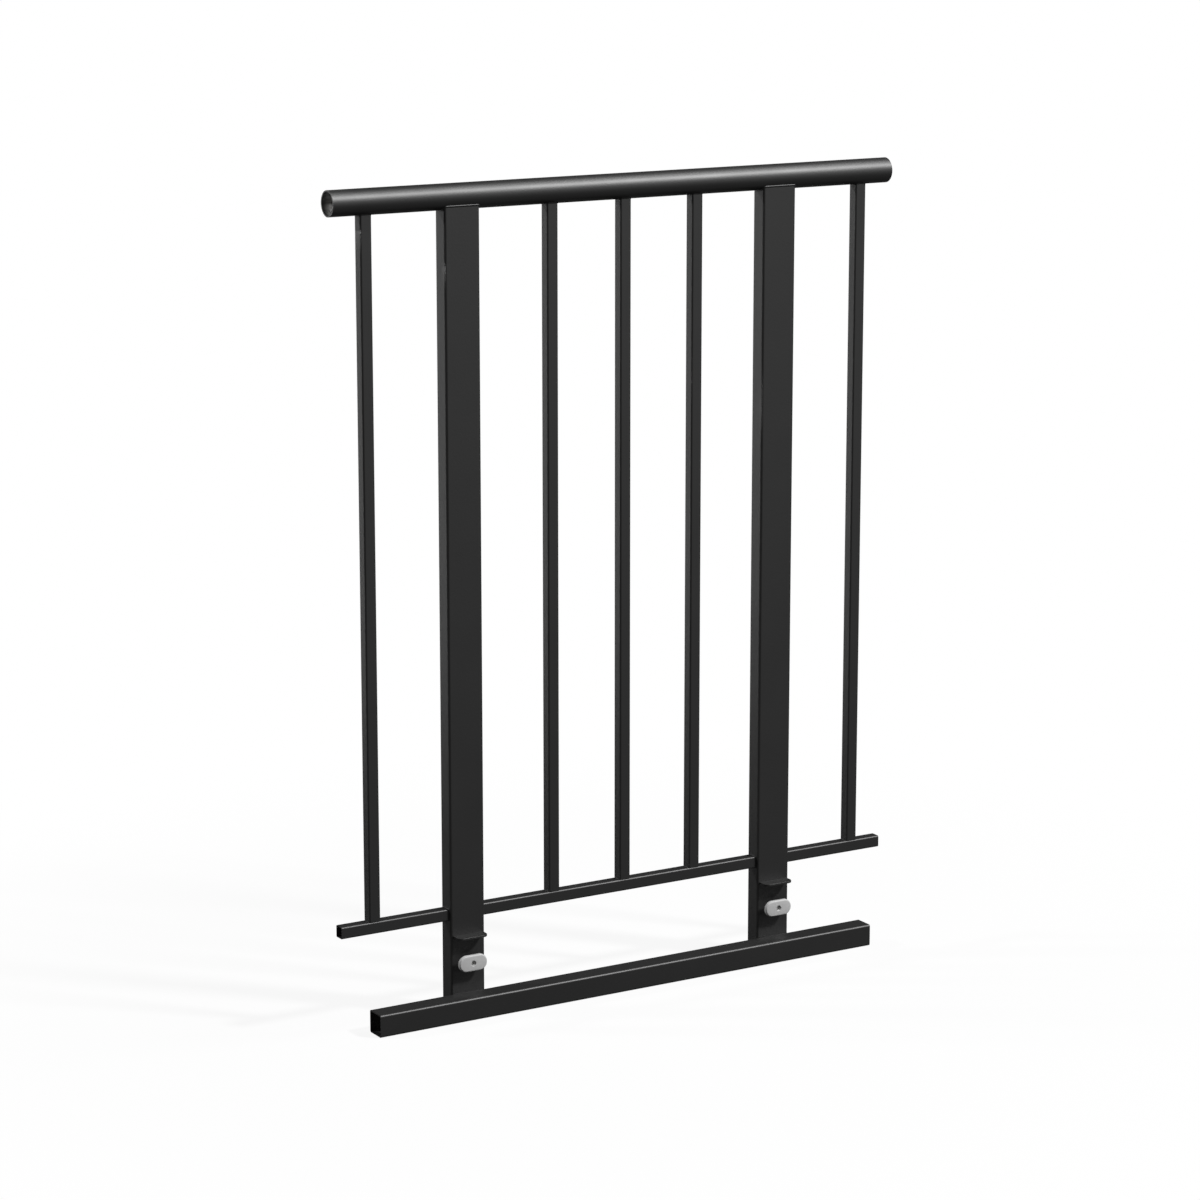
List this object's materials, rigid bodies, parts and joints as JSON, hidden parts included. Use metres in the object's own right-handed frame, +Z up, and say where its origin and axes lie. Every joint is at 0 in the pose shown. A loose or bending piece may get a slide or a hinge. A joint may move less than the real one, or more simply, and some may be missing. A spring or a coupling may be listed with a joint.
{
  "type": "stage safety handrail",
  "caption": "Black steel guard rail for a stage deck: round top rail, wide posts, square bars, and a base bar, tongues and hammerhead clamps that grip the deck's edge.",
  "frame": {"origin": "on the base bar's flat top face, midway between the posts, where the deck frame's underside bears", "axes": "+X along the rail to the right as seen from the stage side, +Y from the deck edge out through the posts to their backs, +Z up"},
  "size_m": [1.0015, 0.0734, 1.2963],
  "materials": {
    "black_steel": "satin powder coat",
    "clamp_metal": "matt zinc plated",
    "fastener_steel": "zinc plated"
  },
  "bodies": {
    "frame": {"top_rail": "black_steel", "left_post": "black_steel", "right_post": "black_steel", "bar_1": "black_steel", "bar_2": "black_steel", "bar_3": "black_steel", "bar_4": "black_steel", "bar_5": "black_steel", "lower_rail_left": "black_steel", "lower_rail_middle": "black_steel", "lower_rail_right": "black_steel", "base_bar": "black_steel", "left_tongue": "black_steel", "right_tongue": "black_steel", "left_washer": "fastener_steel", "right_washer": "fastener_steel"},
    "left_clamp": {"left_clamp_head": "clamp_metal", "left_clamp_bolt": "fastener_steel"},
    "right_clamp": {"right_clamp_head": "clamp_metal", "right_clamp_bolt": "fastener_steel"}
  },
  "joints": [
    {"name": "left_clamp_turn", "type": "hinge", "parent": "frame", "child": "left_clamp", "pos_m": [-0.285, 0.033, 0.0505], "axis": [0, 1, 0], "range_deg": [0, 90]},
    {"name": "right_clamp_turn", "type": "hinge", "parent": "frame", "child": "right_clamp", "pos_m": [0.285, 0.033, 0.0505], "axis": [0, 1, 0], "range_deg": [0, 90]}
  ]
}
